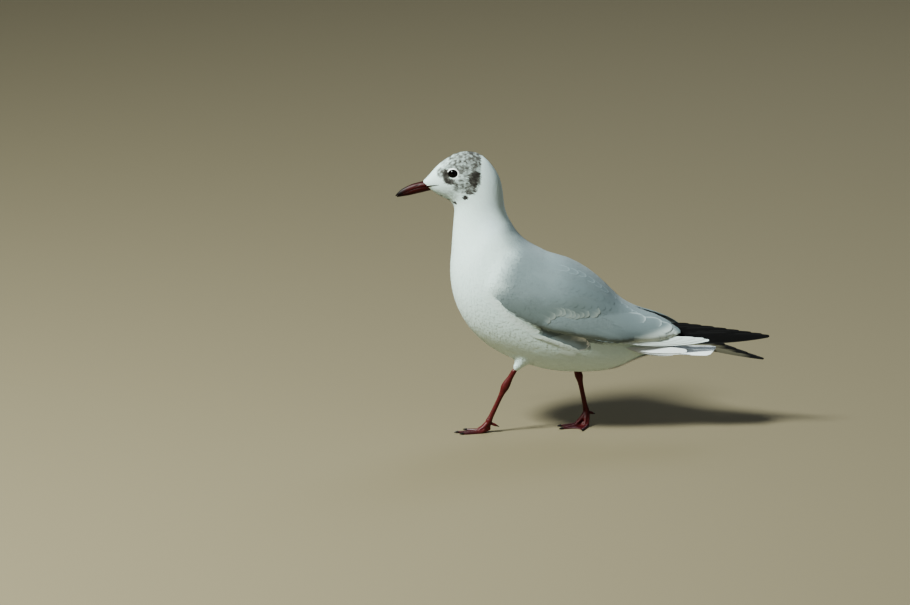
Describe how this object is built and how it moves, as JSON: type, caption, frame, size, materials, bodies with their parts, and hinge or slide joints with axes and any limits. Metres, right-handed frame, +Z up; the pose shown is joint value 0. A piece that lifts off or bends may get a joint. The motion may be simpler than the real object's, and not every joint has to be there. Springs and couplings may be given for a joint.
{
  "type": "black-headed gull",
  "caption": "Life-size still gull with folded wings, walking on webbed feet, with a slim pointed bill and a fading dark hood.",
  "frame": {"origin": "on the floor, under the middle of the bird's length and width", "axes": "+Z up, -X the way that the bird walks and its bill points, -Y its left side"},
  "size_m": [0.3893, 0.0954, 0.296],
  "materials": {
    "white_plumage": "matte white feathers",
    "grey_plumage": "matte pale grey feathers",
    "pale_plumage": "matte greyish white feathers",
    "black_plumage": "matte worn black feathers",
    "head_plumage": "matte white feathers mottled with dark brown",
    "bill_horn": "satin dark red horn",
    "leg_skin": "satin red scaled skin",
    "claw_horn": "satin black horn",
    "eye": "wet gloss, dark brown"
  },
  "bodies": {
    "root": {"head": "head_plumage", "neck": "white_plumage", "trunk": "white_plumage", "eye_left": "eye", "eye_right": "eye", "bill_upper": "bill_horn", "bill_lower": "bill_horn", "tail": "white_plumage", "wing_left": "grey_plumage", "secondaries_left": "pale_plumage", "primaries_left": "black_plumage", "thigh_left": "white_plumage", "shank_left": "leg_skin", "foot_left": "leg_skin", "hind_toe_left": "leg_skin", "claw_left_inner": "claw_horn", "claw_left_middle": "claw_horn", "claw_left_outer": "claw_horn", "claw_left_hind": "claw_horn", "wing_right": "grey_plumage", "secondaries_right": "pale_plumage", "primaries_right": "black_plumage", "thigh_right": "white_plumage", "shank_right": "leg_skin", "foot_right": "leg_skin", "hind_toe_right": "leg_skin", "claw_right_inner": "claw_horn", "claw_right_middle": "claw_horn", "claw_right_outer": "claw_horn", "claw_right_hind": "claw_horn"}
  },
  "joints": []
}
